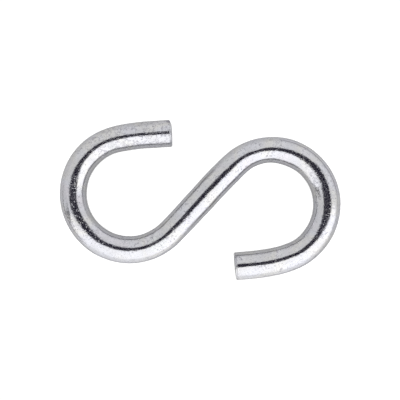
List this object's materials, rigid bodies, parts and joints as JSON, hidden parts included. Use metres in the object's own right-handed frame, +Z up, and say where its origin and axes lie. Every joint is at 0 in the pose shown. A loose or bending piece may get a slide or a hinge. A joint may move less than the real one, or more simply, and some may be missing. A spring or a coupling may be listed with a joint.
{
  "type": "s hook",
  "caption": "S hook bent from one length of round zinc-plated steel wire, with an open eye at each end for hanging or linking things.",
  "frame": {"origin": "midway between the centres of the two eyes, on the surface that the hook lies on", "axes": "+X along the line of load, from the left eye's centre to the right eye's, +Z up, square to the flat of the hook"},
  "size_m": [0.0603, 0.0332, 0.006],
  "materials": {
    "zinc_plated_wire": "bright zinc plate, lightly scuffed from tumbling"
  },
  "bodies": {
    "root": {"hook": "zinc_plated_wire"}
  },
  "joints": []
}
